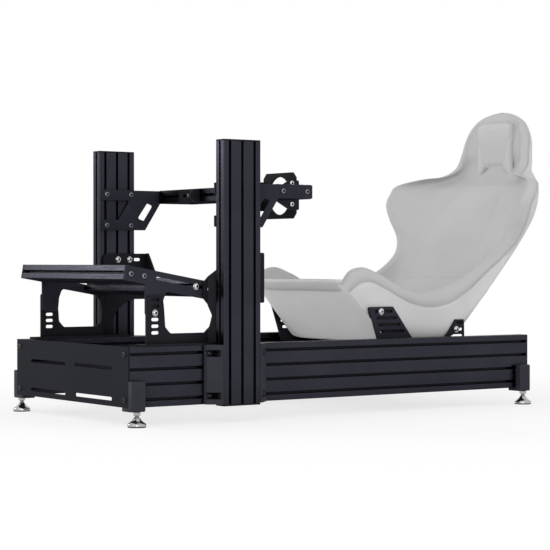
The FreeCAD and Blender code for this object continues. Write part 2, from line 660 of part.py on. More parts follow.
lofted("seat_shell", [section(row, "shell") for row in STATIONS])
for label, rows, pad in (("seat_base_pad", THIGHS, "base_pad_thick"),
                         ("seat_back_pad", BACK, "back_pad_thick"),
                         ("seat_head_pad", HEAD, "head_pad_thick")):
    lofted(label, [section(row, "pad", size[pad]) for row in rows])

doc.recompute()
os.makedirs("parts", exist_ok=True)
for item in doc.Objects:
    if "Invalid" in item.State or "Error" in item.State:
        raise RuntimeError("%s: %s" % (item.Label, item.State))
for label, item in NODES:
    shape = item.Shape
    if shape.isNull() or not shape.isValid() or len(shape.Solids) != 1:
        raise RuntimeError("%s: solids %d valid %s" % (label, len(shape.Solids), shape.isValid()))
    shape.exportStep("parts/%s.step" % label)
print("pieces", len(NODES))
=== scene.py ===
"""Looks of the sim racing cockpit: finishes, fasteners and the upholstered bucket seat."""
import math

import bmesh
import bpy
import numpy as np
from mathutils import Matrix, Vector


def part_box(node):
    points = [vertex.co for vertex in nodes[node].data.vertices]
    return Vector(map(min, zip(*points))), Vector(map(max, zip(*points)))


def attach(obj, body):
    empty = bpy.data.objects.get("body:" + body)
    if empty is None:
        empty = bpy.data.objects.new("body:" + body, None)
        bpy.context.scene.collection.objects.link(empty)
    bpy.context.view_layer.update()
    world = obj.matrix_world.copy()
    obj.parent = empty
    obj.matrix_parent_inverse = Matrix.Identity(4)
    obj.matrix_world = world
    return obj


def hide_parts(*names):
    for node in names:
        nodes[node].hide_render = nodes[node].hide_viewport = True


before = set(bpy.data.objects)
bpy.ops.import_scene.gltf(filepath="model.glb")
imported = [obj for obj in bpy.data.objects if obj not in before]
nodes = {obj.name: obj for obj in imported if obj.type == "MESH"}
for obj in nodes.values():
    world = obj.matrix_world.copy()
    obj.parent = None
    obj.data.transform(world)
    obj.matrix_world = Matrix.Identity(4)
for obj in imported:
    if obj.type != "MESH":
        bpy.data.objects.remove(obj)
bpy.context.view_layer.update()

scene = bpy.context.scene

# drawings are in millimetres with Y counted from the face of the front plate
FRONT_FACE = 811.75
HANDS = ((1, "left"), (-1, "right"))


def at(x, y, z):
    """Point of the drawing in metres of the shared frame."""
    return Vector((x / 1000, (y - FRONT_FACE) / 1000, z / 1000))


# limits between which each mask of the finishes runs from nothing to full
EDGE_LIMITS = (0.97, 0.72)
SPOT_LIMITS = (0.38, 0.66)
GROOVE_LIMITS = (0.78, 0.50)
SHELTER_SHADE_LIMITS = (0.80, 0.35)
UNDERSIDE_LIMITS = (0.0, 0.3)
UPWARD_LIMITS = (0.55, 0.98)
DUST_LIMITS = (0.35, 0.7)
CLOUD_LIMITS = (0.3, 0.72)
GRAIN_LIMITS = (0.3, 0.7)
COVER_LIMITS = (0.3, 0.7)
RIB_LIMITS = (-0.5, 0.5)

# detail of the noises, and how gloss plays round its middle on metal and on cloth
FINE_DETAIL, SLOW_DETAIL, DUST_DETAIL = 3.0, 4.0, 5.0
METAL_PLAY, COVER_PLAY = 0.07, 0.06
# height of grain and ribs in metres, and how far the edge colour shows at a rubbed edge, partly bare metal
# and partly painted highlight
METAL_RELIEF, COVER_RELIEF, WORN_AND_LIT_SHARE = 0.0004, 0.0006, 0.75
# tone of the painted shade in grooves, sheltered corners and undersides and of the ribs, against the finish's
# dark tone, and how far the ribs take theirs
GROOVE_TONE, SHELTER_SHADE_TONE, UNDERSIDE_SHADE_TONE, RIB_TONE, RIB_SHARE = 0.06, 0.15, 0.35, 0.8, 0.16

DUST_GREY = (0.30, 0.30, 0.31)
COVER_DUST_GREY = (0.60, 0.60, 0.60)
EVEN_GRAIN = (1.0, 1.0, 1.0)
TURNED_GRAIN = (1.0, 1.0, 0.3)


# shader nodes
def feed(tree, value, socket):
    """Puts a number into a socket, or links another socket to it."""
    if isinstance(value, (int, float)):
        socket.default_value = value
    else:
        tree.links.new(value, socket)


def math_node(tree, operation, first, second=None, clamp=False):
    node = tree.nodes.new("ShaderNodeMath")
    node.operation = operation
    node.use_clamp = clamp
    feed(tree, first, node.inputs[0])
    if second is not None:
        feed(tree, second, node.inputs[1])
    return node.outputs[0]


def range_node(tree, value, low, high, to_low=0.0, to_high=1.0):
    """Smooth step of a value between two limits."""
    node = tree.nodes.new("ShaderNodeMapRange")
    node.interpolation_type = "SMOOTHSTEP"
    tree.links.new(value, node.inputs["Value"])
    for label, number in (("From Min", low), ("From Max", high), ("To Min", to_low), ("To Max", to_high)):
        node.inputs[label].default_value = number
    return node.outputs["Result"]


def noise_node(tree, place, scale, detail):
    node = tree.nodes.new("ShaderNodeTexNoise")
    node.inputs["Detail"].default_value = detail
    tree.links.new(place, node.inputs["Vector"])
    feed(tree, scale, node.inputs["Scale"])
    return node.outputs["Fac"]


def vector_node(tree, operation, *sources):
    node = tree.nodes.new("ShaderNodeVectorMath")
    node.operation = operation
    for source, socket in zip(sources, node.inputs):
        tree.links.new(source, socket)
    return node.outputs


def split_node(tree, source):
    node = tree.nodes.new("ShaderNodeSeparateXYZ")
    tree.links.new(source, node.inputs[0])
    return node.outputs


def surface(tree):
    """Place and normals of the point that is shaded."""
    return tree.nodes.new("ShaderNodeNewGeometry").outputs


# shader node groups shared by the finishes
def new_group(name, inputs, outputs):
    """Empty group with what it is given and what it makes; a tuple stands for a vector."""
    group = bpy.data.node_groups.new(name, "ShaderNodeTree")
    for label, value in inputs.items():
        kind = "NodeSocketVector" if isinstance(value, tuple) else "NodeSocketFloat"
        socket = group.interface.new_socket(name=label, in_out="INPUT", socket_type=kind)
        socket.default_value = value
    for label in outputs:
        group.interface.new_socket(name=label, in_out="OUTPUT", socket_type="NodeSocketFloat")
    start = group.nodes.new("NodeGroupInput")
    end = group.nodes.new("NodeGroupOutput")
    return group, start.outputs, end.inputs


def grain_group():
    """Fine grain, stretched along one direction, with slow clouds over it."""
    group, given, made = new_group(
        "surface_grain", {"Scale": 900.0, "Stretch": EVEN_GRAIN, "Cloud Scale": 9.0}, ["Grain", "Clouds"])
    place = surface(group)["Position"]
    stretched = vector_node(group, "MULTIPLY", place, given["Stretch"])[0]
    fine = noise_node(group, stretched, given["Scale"], FINE_DETAIL)
    slow = noise_node(group, place, given["Cloud Scale"], SLOW_DETAIL)
    group.links.new(fine, made["Grain"])
    group.links.new(slow, made["Clouds"])
    return group


def wear_and_highlight_group():
    """Mask of rubbed edges and painted edge highlights: where a rounded normal leaves the surface's own,
    broken up by noise unless Cover fills the gaps.
    """
    group, given, made = new_group(
        "edge_wear_and_highlight", {"Radius": 0.0015, "Break Up": 160.0, "Cover": 0.0}, ["Mask"])
    place = surface(group)
    rounded = group.nodes.new("ShaderNodeBevel")
    rounded.samples = 4
    group.links.new(given["Radius"], rounded.inputs["Radius"])
    same = vector_node(group, "DOT_PRODUCT", rounded.outputs["Normal"], place["True Normal"])["Value"]
    edge = range_node(group, same, *EDGE_LIMITS)
    noise = noise_node(group, place["Position"], given["Break Up"], FINE_DETAIL)
    spots = range_node(group, noise, *SPOT_LIMITS)
    spots = math_node(group, "MAXIMUM", spots, given["Cover"])
    group.links.new(math_node(group, "MULTIPLY", edge, spots), made["Mask"])
    return group


def hollow_group(name, reach, limits, most, local):
    """Mask of painted shade at points that see little of the open within a reach; local looks at their own
    piece alone.
    """
    group, given, made = new_group(name, {"Reach": reach}, ["Mask"])
    near = group.nodes.new("ShaderNodeAmbientOcclusion")
    near.samples = 6
    near.only_local = local
    group.links.new(given["Reach"], near.inputs["Distance"])
    group.links.new(range_node(group, near.outputs["AO"], *limits, 0.0, most), made["Mask"])
    return group


def underside_shade_group():
    """Mask of faces that look down, for painted shade and a less metallic finish there."""
    group, given, made = new_group("dull_shaded_underside", {"From": -0.35}, ["Mask"])
    upward = split_node(group, surface(group)["True Normal"])["Z"]
    below = math_node(group, "SUBTRACT", given["From"], upward)
    group.links.new(range_node(group, below, *UNDERSIDE_LIMITS), made["Mask"])
    return group


def dust_group():
    """Mask of dust that has settled on faces that look up."""
    group, given, made = new_group("settled_dust", {"Amount": 0.1}, ["Mask"])
    place = surface(group)
    upward = range_node(group, split_node(group, place["Normal"])["Z"], *UPWARD_LIMITS)
    spots = range_node(group, noise_node(group, place["Position"], 38.0, DUST_DETAIL), *DUST_LIMITS)
    mask = math_node(group, "MULTIPLY", upward, spots)
    group.links.new(math_node(group, "MULTIPLY", mask, given["Amount"]), made["Mask"])
    return group


def weave_group():
    """Fine knitted cover: crossed ribs laid on the three sides of the object and mixed by the normal."""
    group, given, made = new_group("knit_cover", {"Scale": 900.0}, ["Height", "Clouds"])
    place = surface(group)
    point = split_node(group, place["Position"])
    normal = split_node(group, place["Normal"])
    ribs = {}
    for axis in "XYZ":
        turns = math_node(group, "MULTIPLY", point[axis], given["Scale"])
        ribs[axis] = math_node(group, "SINE", turns)
    total = None
    weights = None
    for axis, first, second in (("X", "Y", "Z"), ("Y", "X", "Z"), ("Z", "X", "Y")):
        flat = math_node(group, "ABSOLUTE", normal[axis])
        flat = math_node(group, "POWER", flat, 3.0)
        cross = math_node(group, "MULTIPLY", ribs[first], ribs[second])
        part = math_node(group, "MULTIPLY", cross, flat)
        total = part if total is None else math_node(group, "ADD", total, part)
        weights = flat if weights is None else math_node(group, "ADD", weights, flat)
    height = math_node(group, "DIVIDE", total, weights)
    group.links.new(math_node(group, "MULTIPLY", height, 0.5), made["Height"])
    group.links.new(noise_node(group, place["Position"], 7.0, SLOW_DETAIL), made["Clouds"])
    return group


GRAIN = grain_group()
WEAR_AND_HIGHLIGHT = wear_and_highlight_group()
# painted shade: grooves and pockets darkened within a short reach of their own piece, and corners sheltered
# by any piece within a longer one
GROOVE = hollow_group("groove_shade", 0.012, GROOVE_LIMITS, 1.0, True)
SHELTER_SHADE = hollow_group("sheltered_painted_shade", 0.22, SHELTER_SHADE_LIMITS, 0.72, False)
UNDERSIDE_SHADE = underside_shade_group()
DUST = dust_group()
WEAVE = weave_group()


def placed(tree, group, **values):
    node = tree.nodes.new("ShaderNodeGroup")
    node.node_tree = group
    for label, value in values.items():
        node.inputs[label.replace("_", " ")].default_value = value
    return node.outputs


def mixed(tree, factor, first, second):
    """Colour between first and second; each is a colour or a socket."""
    node = tree.nodes.new("ShaderNodeMix")
    node.data_type = "RGBA"
    tree.links.new(factor, node.inputs["Factor"])
    for label, value in (("A", first), ("B", second)):
        socket = [s for s in node.inputs if s.name == label and s.type == "RGBA"][0]
        if isinstance(value, tuple):
            socket.default_value = (*value, 1.0)
        else:
            tree.links.new(value, socket)
    return [s for s in node.outputs if s.type == "RGBA"][0]


def darker(colour, share):
    return tuple(share * c for c in colour)


def bumped(tree, height, strength, distance, shader):
    node = tree.nodes.new("ShaderNodeBump")
    node.inputs["Strength"].default_value = strength
    node.inputs["Distance"].default_value = distance
    tree.links.new(height, node.inputs["Height"])
    tree.links.new(node.outputs["Normal"], shader.inputs["Normal"])


def new_finish(name, **constants):
    made = bpy.data.materials.new(name)
    made.use_nodes = True
    tree = made.node_tree
    shader = tree.nodes["Principled BSDF"]
    for label, value in constants.items():
        shader.inputs[label.replace("_", " ")].default_value = value
    return made, tree, shader


def metal_finish(name, dark, light, worn_and_lit, scale, rough, bump, radius, stretch=EVEN_GRAIN, dust=0.012,
                 cover=0.0, groove=0.0, dull_and_shaded_below=False, shelter_shade=False, **constants):
    """Coated or anodised metal: clouded colour, grain in gloss and height, rubbed edges partly lit with
    painted highlights, and dust.

    Where asked for, grooves and sheltered corners get painted shade, and faces that look down get painted
    shade and are made less metallic.
    """
    made, tree, shader = new_finish(name, **constants)
    grain = placed(tree, GRAIN, Scale=scale, Stretch=stretch)
    wear_and_highlight = placed(tree, WEAR_AND_HIGHLIGHT, Radius=radius, Cover=cover)
    film = placed(tree, DUST, Amount=dust)
    tone = mixed(tree, range_node(tree, grain["Clouds"], *CLOUD_LIMITS), dark, light)
    # edges take the edge colour: rubbed bare metal, and as far as the cover reaches, a painted highlight
    tone = mixed(tree, math_node(tree, "MULTIPLY", wear_and_highlight["Mask"], WORN_AND_LIT_SHARE), tone, worn_and_lit)
    tone = mixed(tree, film["Mask"], tone, DUST_GREY)
    # painted shade in narrow grooves and pockets
    if groove:
        tone = mixed(tree, placed(tree, GROOVE, Reach=groove)["Mask"], tone, darker(dark, GROOVE_TONE))
    # painted shade in corners sheltered by nearby pieces
    if shelter_shade:
        tone = mixed(tree, placed(tree, SHELTER_SHADE)["Mask"], tone, darker(dark, SHELTER_SHADE_TONE))
    # painted shade on faces that look down, which are also made less metallic
    if dull_and_shaded_below:
        below = placed(tree, UNDERSIDE_SHADE)["Mask"]
        tone = mixed(tree, below, tone, darker(dark, UNDERSIDE_SHADE_TONE))
        tree.links.new(math_node(tree, "SUBTRACT", 1.0, below), shader.inputs["Metallic"])
    tree.links.new(tone, shader.inputs["Base Color"])
    gloss = range_node(tree, grain["Grain"], *GRAIN_LIMITS, rough - METAL_PLAY, rough + METAL_PLAY)
    tree.links.new(math_node(tree, "ADD", gloss, film["Mask"], True), shader.inputs["Roughness"])
    bumped(tree, grain["Grain"], bump, METAL_RELIEF, shader)
    return made


# anodised profiles: painted highlights along nearly all their edges (cover 0.8), painted shade in grooves,
# sheltered corners and undersides
def anodised(name, stretch):
    return metal_finish(name, (0.0315, 0.0320, 0.0425), (0.0365, 0.0370, 0.0490), (0.20, 0.20, 0.23),
                        scale=520.0, rough=0.31, bump=0.05, radius=0.0010, stretch=stretch, cover=0.8,
                        groove=0.012, dull_and_shaded_below=True, shelter_shade=True, Specular_IOR_Level=0.0,
                        Specular_Tint=(0.65, 0.65, 0.65, 1.0))


def powder_finish(name, dark, light, worn_and_lit, shelter_shade):
    return metal_finish(name, dark, light, worn_and_lit, scale=1500.0, rough=0.56, bump=0.16, radius=0.0009,
                        shelter_shade=shelter_shade, Specular_IOR_Level=0.06)


def plated(name, dark, light, worn_and_lit, rough, bump):
    """Bright plating with turned grain."""
    return metal_finish(name, dark, light, worn_and_lit, scale=700.0, rough=rough, bump=bump, radius=0.0005,
                        stretch=TURNED_GRAIN, dust=0.01, Metallic=1.0)


def bolt_finish(name, dark, light, worn_and_lit, rough, dust=0.01, **constants):
    return metal_finish(name, dark, light, worn_and_lit, scale=900.0, rough=rough, bump=0.05, radius=0.0004,
                        dust=dust, **constants)


anodised_along = anodised("dark_anodised_lengthways", (1.0, 0.04, 1.0))
anodised_across = anodised("dark_anodised_crossways", (0.04, 1.0, 1.0))
anodised_up = anodised("dark_anodised_upright", (1.0, 1.0, 0.04))
# the powder coat and the support coat carry painted shade in sheltered corners
powder_coat = powder_finish("dark_powder_coat", (0.0195, 0.0202, 0.0285), (0.0240, 0.0248, 0.0345),
                            (0.06, 0.06, 0.07), shelter_shade=True)
plate_coat = powder_finish("dark_plate_coat", (0.0074, 0.0082, 0.0125), (0.0090, 0.0100, 0.0155),
                           (0.05, 0.05, 0.06), shelter_shade=False)
# cast coat: painted highlight along part of its edges (cover 0.3) and painted shade in its pockets
cast_coat = metal_finish("cast_dark_coat", (0.0265, 0.0275, 0.0350), (0.0330, 0.0340, 0.0430),
                         (0.07, 0.07, 0.08), scale=900.0, rough=0.56, bump=0.30, radius=0.0012,
                         cover=0.3, groove=0.02, Specular_IOR_Level=0.08)
support_coat = powder_finish("dark_support_coat", (0.0110, 0.0112, 0.0150), (0.0140, 0.0142, 0.0190),
                             (0.05, 0.05, 0.06), shelter_shade=True)
cap_plastic = metal_finish("moulded_cap_plastic", (0.0050, 0.0050, 0.0062), (0.0070, 0.0070, 0.0085),
                           (0.02, 0.02, 0.023), scale=2400.0, rough=0.58, bump=0.35, radius=0.0008,
                           Specular_IOR_Level=0.15)
bright_steel = plated("bright_plated_steel", (0.58, 0.58, 0.59), (0.66, 0.66, 0.67), (0.80, 0.80, 0.81),
                      rough=0.14, bump=0.03)
foot_chrome = plated("chromed_foot", (0.40, 0.40, 0.41), (0.46, 0.46, 0.47), (0.70, 0.70, 0.71),
                     rough=0.09, bump=0.02)
dark_bolt = bolt_finish("dark_bolt_steel", (0.045, 0.045, 0.050), (0.060, 0.060, 0.066), (0.14, 0.14, 0.15),
                        rough=0.42, Metallic=1.0)
bolt_steel = bolt_finish("grey_bolt_steel", (0.17, 0.17, 0.19), (0.22, 0.22, 0.24), (0.34, 0.34, 0.36),
                         rough=0.44, Metallic=1.0)
socket_dark = bolt_finish("bolt_socket_shade", (0.010, 0.010, 0.012), (0.016, 0.016, 0.018),
                          (0.03, 0.03, 0.03), rough=0.5, dust=0.0, Specular_IOR_Level=0.1)


def pale(tone):
    """Pale grey with a trace of blue."""
    return (tone, tone, tone + 0.002)


def cover_finish(name, dark, light, scale, bump, rough):
    """Knitted seat cover with slow changes of tone and a soft sheen."""
    made, tree, shader = new_finish(name, Sheen_Weight=0.06, Sheen_Roughness=0.5, Specular_IOR_Level=0.2)
    weave = placed(tree, WEAVE, Scale=scale)
    film = placed(tree, DUST, Amount=0.04)
    tone = mixed(tree, range_node(tree, weave["Clouds"], *COVER_LIMITS), pale(dark), pale(light))
    shade = range_node(tree, weave["Height"], *RIB_LIMITS, 0.0, RIB_SHARE)
    tone = mixed(tree, shade, tone, darker(pale(dark), RIB_TONE))
    tone = mixed(tree, film["Mask"], tone, COVER_DUST_GREY)
    tree.links.new(tone, shader.inputs["Base Color"])
    gloss = range_node(tree, weave["Height"], *RIB_LIMITS, rough + COVER_PLAY, rough - COVER_PLAY)
    tree.links.new(gloss, shader.inputs["Roughness"])
    bumped(tree, weave["Height"], bump, COVER_RELIEF, shader)
    return made


# the seat's cover is one colour: the shell side, front panel, front lip and head are lighter copies of it,
# with light painted in to offset the shade on those faces, the front panel most
side_cover_painted_light = cover_finish("pale_shell_side_painted_light", 0.53, 0.57, scale=1500.0, bump=0.08, rough=0.62)
front_panel_painted_light = cover_finish("pale_front_panel_painted_light", 0.85, 0.89, scale=1500.0, bump=0.08, rough=0.62)
lip_cover_painted_light = cover_finish("pale_front_lip_painted_light", 0.62, 0.66, scale=1500.0, bump=0.08, rough=0.62)
shell_cover = cover_finish("pale_shell_cover", 0.445, 0.475, scale=1500.0, bump=0.12, rough=0.70)
pad_cover = cover_finish("pale_pad_cover", 0.445, 0.475, scale=1100.0, bump=0.25, rough=0.78)
head_cover_painted_light = cover_finish("pale_head_cover_painted_light", 0.485, 0.515, scale=1100.0, bump=0.25, rough=0.78)


# finishes and softened edges on the solids that stay; edge widths in metres
PROFILE_EDGE, PLATE_EDGE, CAST_EDGE = 0.0007, 0.0008, 0.0012


def soften(item, width):
    """Rounds the hard edges of a solid for the eye, without touching its mesh."""
    weld = item.modifiers.new("joined_corners", "WELD")
    weld.merge_threshold = 0.00002
    plain = item.modifiers.new("plain_faces", "DECIMATE")
    plain.decimate_type = "DISSOLVE"
    plain.angle_limit = math.radians(0.5)
    round_edges = item.modifiers.new("rounded_edges", "BEVEL")
    round_edges.width = width
    round_edges.segments = 2
    round_edges.limit_method = "ANGLE"
    round_edges.angle_limit = math.radians(32)
    round_edges.use_clamp_overlap = True
    round_edges.harden_normals = True


def finish_of(name):
    """Finish of a solid and the width of its rounded edges, from its name."""
    if "cap" in name:
        return cap_plastic, PLATE_EDGE
    if "upright" in name:
        return anodised_up, PROFILE_EDGE
    if "rail" in name:
        return anodised_along, PROFILE_EDGE
    if name.endswith("_bar"):
        return anodised_across, PROFILE_EDGE
    if "angle" in name or "foot_bracket" in name:
        return cast_coat, CAST_EDGE
    if "levelling" in name:
        return bright_steel, PLATE_EDGE
    if name == "front_plate":
        return plate_coat, PLATE_EDGE
    if "pedal_support" in name or "mount" in name:
        return support_coat, PLATE_EDGE
    return powder_coat, PLATE_EDGE


for node_name, item in nodes.items():
    if node_name.startswith("seat_") and not node_name.endswith("_bar"):
        continue
    finish, width = finish_of(node_name)
    item.data.materials.clear()
    item.data.materials.append(finish)
    soften(item, width)


# mesh helpers
def new_piece(name, points, faces, finishes):
    mesh = bpy.data.meshes.new(name)
    mesh.from_pydata([tuple(p) for p in points], [], faces)
    mesh.update()
    item = bpy.data.objects.new(name, mesh)
    scene.collection.objects.link(item)
    for finish in finishes:
        mesh.materials.append(finish)
    mesh.polygons.foreach_set("use_smooth", [True] * len(mesh.polygons))
    return item


def split_edges(item, name, degrees):
    """Shades a piece with hard edges where its faces meet at more than the angle."""
    split = item.modifiers.new(name, "EDGE_SPLIT")
    split.split_angle = math.radians(degrees)


def fix_normals(item):
    fix = bmesh.new()
    fix.from_mesh(item.data)
    bmesh.ops.recalc_face_normals(fix, faces=fix.faces)
    fix.to_mesh(item.data)
    fix.free()


def skin(levels, count):
    """Quads between neighbouring rings of a stack, each ring with the same count of points."""
    faces = []
    for level in range(levels - 1):
        low, high = level * count, (level + 1) * count
        for i in range(count):
            j = (i + 1) % count
            faces.append((low + i, low + j, high + j, high + i))
    return faces


def lid(level, count):
    """One face over a ring of a stack."""
    return tuple(level * count + i for i in range(count))


class Fastener:
    """Collects bolts of one place as one mesh."""

    def __init__(self):
        self.points = []
        self.faces = []
        self.finish = []

    def rings(self, matrix, rings, finish, close_last=True):
        """Skins a stack of rings; the finish is one number, or one for each ring."""
        base = len(self.points)
        count = len(rings[0])
        finish = finish if isinstance(finish, list) else [finish] * len(rings)
        faces = skin(len(rings), count)
        for row in rings:
            self.points += [matrix @ Vector(p) for p in row]
        for number in finish[:len(rings) - 1]:
            self.finish += [number] * count
        if close_last:
            faces.append(lid(len(rings) - 1, count))
            self.finish.append(finish[-1])
        self.faces += [tuple(base + i for i in face) for face in faces]


BOLT_POINTS, FOOT_POINTS = 36, 48


def facing(where, outward):
    turn = Vector((0, 0, 1)).rotation_difference(Vector(outward)).to_matrix().to_4x4()
    return Matrix.Translation(where) @ turn


def ring(radius, height, count=BOLT_POINTS):
    return [(radius * math.cos(2 * math.pi * i / count), radius * math.sin(2 * math.pi * i / count), height)
            for i in range(count)]


def hexagon(across, height, count=BOLT_POINTS):
    """Points on the outline of a hexagon, at the angles of a ring."""
    points = []
    for i in range(count):
        angle = 2 * math.pi * i / count
        local = (angle + math.pi / 6) % (math.pi / 3) - math.pi / 6
        radius = across / 2 / math.cos(local)
        points.append((radius * math.cos(angle), radius * math.sin(angle), height))
    return points


def button_bolt(group, where, outward, wide, washer):
    """Domed head with a hexagon socket, on a washer if its width is given."""
    matrix = facing(where, outward)
    sunk, chamfer = 0.0004, 0.0003
    tall = wide * 0.30
    brim = 0.22
    step = 0.0
    if washer:
        step = 0.0016
        group.rings(matrix, [ring(washer / 2, -sunk), ring(washer / 2, step - chamfer),
                             ring(washer / 2 - chamfer, step), ring(wide * 0.4, step)], 0)
    dome = [ring(wide / 2, step - sunk), ring(wide / 2, step + tall * brim)]
    for share in (0.3, 0.55, 0.78, 0.93, 1.0):
        angle = share * math.pi / 2
        reach = wide * (0.27 + 0.23 * math.cos(angle))
        dome.append(ring(reach, step + tall * (brim + (1 - brim) * math.sin(angle))))
    socket = wide * 0.45
    for across, height in ((1.0, 0.985), (0.96, 0.9), (0.95, 0.35)):
        dome.append(hexagon(socket * across, step + tall * height))
    dome.append(ring(socket * 0.12, step + tall * 0.2))
    group.rings(matrix, dome, [0] * 8 + [1, 1, 1])


def finish_fastener(group, name, finishes, degrees):
    item = new_piece(name, group.points, group.faces, finishes)
    item.data.polygons.foreach_set("material_index", group.finish)
    split_edges(item, "crisp_edges", degrees)
    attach(item, "root")
    return item


def bolts(name, places, outward, finish, wide=15.5, washer=0.0):
    """Bolts of one place; widths of heads and washers in millimetres."""
    group = Fastener()
    for place in places:
        button_bolt(group, at(*place), outward, wide / 1000, washer / 1000)
    finish_fastener(group, name, [finish, socket_dark], 40)


WASHER = 18.0
FORWARD = (0, -1, 0)
bolts("front_plate_bolts", [(x, 0, z) for x in (-292, 292) for z in (70, 190)], FORWARD, dark_bolt, 14.5)
for side, hand in HANDS:
    inward, outward = (-side, 0, 0), (side, 0, 0)
    bolts(hand + "_wheel_arm_inner_bolts", [(side * 306, y, z) for y in (295, 378) for z in (541, 633)],
          inward, bolt_steel)
    bolts(hand + "_wheel_arm_outer_bolts", [(side * 312, y, 628) for y in (497, 579)], outward, bolt_steel)
    bolts(hand + "_pedal_arm_bolts", [(side * 289, 22.2, 401.1), (side * 289, 62.7, 395.1)], outward,
          bolt_steel)
    bolts(hand + "_pedal_arm_rear_bolts", [(side * 289, 226, 366), (side * 289, 264, 358.5)], outward,
          bright_steel, washer=WASHER)
    bolts(hand + "_pedal_leg_bolt", [(side * 295, 93, 297)], outward, bright_steel, washer=WASHER)
    bolts(hand + "_support_bolts", [(side * 306, y, 439) for y in (334, 374)], inward, bright_steel,
          washer=WASHER)
    bolts(hand + "_mount_ring_bolts", [(side * 86, 690, z) for z in (600.5, 662)], outward, bright_steel,
          15.0)
    bolts(hand + "_mount_pivot_bolt", [(side * 86, 459, 626.6)], outward, bolt_steel, 13.0)
    bolts(hand + "_mount_flange_bolt", [(side * 134.5, 472, 627.5)], FORWARD, bolt_steel, 12.0)
    bolts(hand + "_seat_bracket_bolts", [(side * 248, 895, 287), (side * 248, 1184, 229.5)], outward,
          bright_steel, 15.0, washer=19.0)
    for end, face, way in (("front", 274, -1), ("rear", 394, 1)):
        bolts(hand + "_angle_bolts_" + end, [(side * 319, face + way * 23, z) for z in (73, 187)], outward,
              dark_bolt, 14.0)


# chromed levelling feet: rubber sole, bell, threaded stem and lock nut, as (radius or width, height)
FOOT_SOLE = [(18, 0.2), (23.6, 0), (24.4, 0.6), (24.4, 2.4), (23.8, 2.7)]
FOOT_BELL = [(23.9, 2.6), (25, 3.0), (25, 7.4), (24.5, 9.0), (22.6, 11.0), (18.6, 13.6), (14.6, 16.4),
             (11.6, 19.4), (9.4, 22.4), (8.2, 24.8), (6.8, 25.6)]
FOOT_THREAD = [(5.4 + 0.5 * (i % 2), 25.4 + 0.6 * i) for i in range(11)]
FOOT_NUT = [(12.5, 31.2), (17, 31.2), (19, 32), (19, 39.2), (17, 40), (12, 40)]


def build_foot(node):
    low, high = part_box(node)
    group = Fastener()
    matrix = Matrix.Translation(((low[0] + high[0]) / 2, (low[1] + high[1]) / 2, low[2]))
    for part, kind in ((FOOT_SOLE, 1), (FOOT_BELL, 0), (FOOT_THREAD, 0)):
        group.rings(matrix, [ring(r / 1000, z / 1000, FOOT_POINTS) for r, z in part], kind, False)
    group.rings(matrix, [hexagon(wide / 1000, z / 1000, FOOT_POINTS) for wide, z in FOOT_NUT], 0)
    item = finish_fastener(group, "chromed_" + node, [foot_chrome, cap_plastic], 38)
    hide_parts(node)


for node_name in sorted(nodes):
    if "levelling" in node_name:
        build_foot(node_name)

# bucket seat: stations like those of the solid, with the front edge and headrest moved to the photo
SEAT_FRONT, SEAT_LOW, SEAT_HALF = 790.0, 194.0, 242.0
# back (Y, Z), rim (Y, Z), share where the hollow's floor lies, half widths at back, side and rim,
# height of the rolled rim, width of its band, height of the padding over the floor
(BACK_Y, BACK_Z, RIM_Y, RIM_Z, FLOOR_SHARE, BACK_WIDE, SIDE_WIDE, RIM_WIDE, RIM_TALL, RIM_BAND,
 PADDING) = range(11)
STATIONS = np.array([
    (144, 0, -15, 172, 0.84, 0.97, 0.985, 0.94, 30, 30, 34),
    (156, 0, 10, 210, 0.73, 0.97, 1.00, 0.975, 44, 34, 34),
    (176, 0, 47, 222, 0.67, 0.95, 1.00, 0.99, 48, 36, 34),
    (210, 0, 110, 205, 0.60, 0.94, 1.00, 1.00, 53, 36, 34),
    (270, 0, 185, 170, 0.50, 0.94, 1.00, 1.00, 53, 36, 34),
    (330, 0, 281, 148, 0.45, 0.94, 1.00, 1.00, 47, 36, 34),
    (390, 6, 379, 165, 0.42, 0.94, 1.00, 1.00, 48, 36, 32),
    (438, 40, 445, 194, 0.42, 0.94, 1.00, 1.01, 45, 34, 26),
    (490, 101, 519, 238, 0.45, 0.92, 1.04, 1.015, 40, 34, 24),
    (565, 193, 571, 288, 0.55, 0.89, 1.08, 1.07, 40, 34, 20),
    (628, 266, 589, 331, 0.55, 0.87, 1.11, 1.18, 36, 32, 18),
    (678, 324, 588, 381, 0.41, 0.84, 1.13, 1.33, 32, 30, 22),
    (713, 371, 589, 426, 0.33, 0.80, 1.135, 1.408, 30, 28, 24),
    (740, 420, 607, 461, 0.30, 0.76, 1.09, 1.422, 28, 28, 22),
    (758, 466, 627, 493, 0.31, 0.71, 1.02, 1.33, 26, 28, 14),
    (770, 500, 657, 510, 0.17, 0.66, 0.90, 0.95, 26, 28, 5),
    (782, 528, 700, 516, 0.13, 0.60, 0.76, 0.785, 24, 26, 0),
    (798, 556, 740, 540, 0.32, 0.55, 0.675, 0.69, 24, 24, 0),
    (811, 592, 758, 588, 0.67, 0.53, 0.615, 0.63, 22, 22, 0),
    (816, 622, 766, 621, 0.76, 0.51, 0.59, 0.61, 22, 22, 0),
    (817, 648, 773, 651, 0.80, 0.465, 0.548, 0.575, 22, 24, 0),
    (819, 669, 780, 677, 0.82, 0.395, 0.478, 0.512, 20, 26, 0),
    (820, 685, 786, 696, 0.93, 0.32, 0.398, 0.428, 18, 26, 0),
    (821, 696, 791, 708, 1.00, 0.24, 0.30, 0.33, 16, 22, 0),
    (822, 705, 796, 716, 1.00, 0.15, 0.195, 0.213, 13, 18, 0),
    (823, 710, 801, 720, 1.00, 0.075, 0.10, 0.11, 10, 12, 0),
    (825, 713, 805, 722, 1.00, 0.008, 0.011, 0.012, 8, 2, 0),
], float)
MIRROR = np.array([-1.0, 1, 1])


